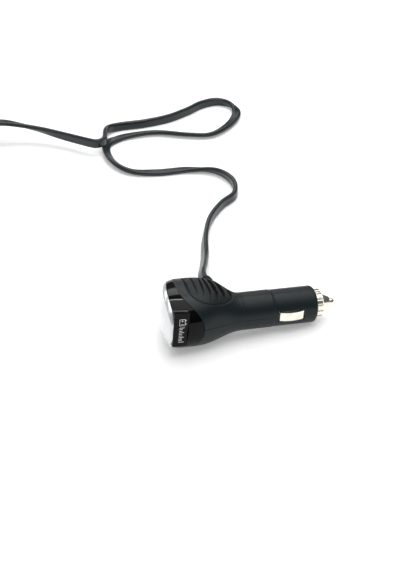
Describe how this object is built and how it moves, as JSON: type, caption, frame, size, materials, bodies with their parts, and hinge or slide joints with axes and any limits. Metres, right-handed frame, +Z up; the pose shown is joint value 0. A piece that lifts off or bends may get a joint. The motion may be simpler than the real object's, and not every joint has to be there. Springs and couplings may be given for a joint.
{
  "type": "cigarette lighter splitter",
  "caption": "Fused car lighter plug with a flared battery-monitor head, sprung contacts and a flat cord that ends in a plain twin-socket hub.",
  "frame": {"origin": "middle of the plug's footprint on the table it lies on, without the cord and hub", "axes": "+X towards the plug's tip, +Y towards the cord's exit at the back of the head, +Z up"},
  "size_m": [0.2447, 0.324, 0.0322],
  "materials": {
    "housing": "fine matte",
    "gloss": "high gloss",
    "lens": "silvered gloss",
    "display": "gloss",
    "board": "solder mask",
    "grommet": "satin",
    "nickel": "bright nickel plate",
    "spring": "plain wire",
    "glass": "clear",
    "insulator": "plain",
    "brass": "plain",
    "screw": "zinc plate",
    "cord": "satin",
    "foot": "matte",
    "can": "drawn steel"
  },
  "bodies": {
    "plug": {"upper_housing": "housing", "lower_housing": "housing", "front_bezel": "gloss", "label_panel": "gloss", "front_lens": "lens", "display_module": "display", "circuit_board": "board", "cord_grommet": "grommet", "tip_spring": "spring", "fuse_glass": "glass", "fuse_cap_front": "nickel", "fuse_cap_rear": "nickel", "fuse_tube": "insulator", "rear_terminal": "brass", "housing_screws": "screw", "cord": "cord", "hub_base": "housing", "hub_cover": "housing", "hub_grommet": "grommet", "hub_screws": "screw", "hub_feet": "foot", "socket_can_1": "can", "socket_can_2": "can", "socket_insulator_1": "insulator", "socket_insulator_2": "insulator", "socket_contact_1": "brass", "socket_contact_2": "brass"},
    "near_contact": {"side_contact_near": "nickel"},
    "far_contact": {"side_contact_far": "nickel"},
    "nose_ring": {"ring_nut": "nickel"},
    "tip": {"tip_contact": "nickel"}
  },
  "joints": [
    {"name": "near_contact_press", "type": "slide", "parent": "plug", "child": "near_contact", "axis": [0, 1, 0], "range_m": [0, 0.0011], "stiffness_N_per_m": 1500, "springref_m": -0.0006},
    {"name": "far_contact_press", "type": "slide", "parent": "plug", "child": "far_contact", "axis": [0, -1, 0], "range_m": [0, 0.0011], "stiffness_N_per_m": 1500, "springref_m": -0.0006},
    {"name": "nose_ring_off", "type": "slide", "parent": "plug", "child": "nose_ring", "axis": [0.9966, 0, -0.0824], "range_m": [0, 0.02]},
    {"name": "tip_press", "type": "slide", "parent": "nose_ring", "child": "tip", "axis": [-0.9966, 0, 0.0824], "range_m": [0, 0.0025], "stiffness_N_per_m": 1000, "springref_m": -0.002, "deforming": ["tip_spring"]}
  ]
}
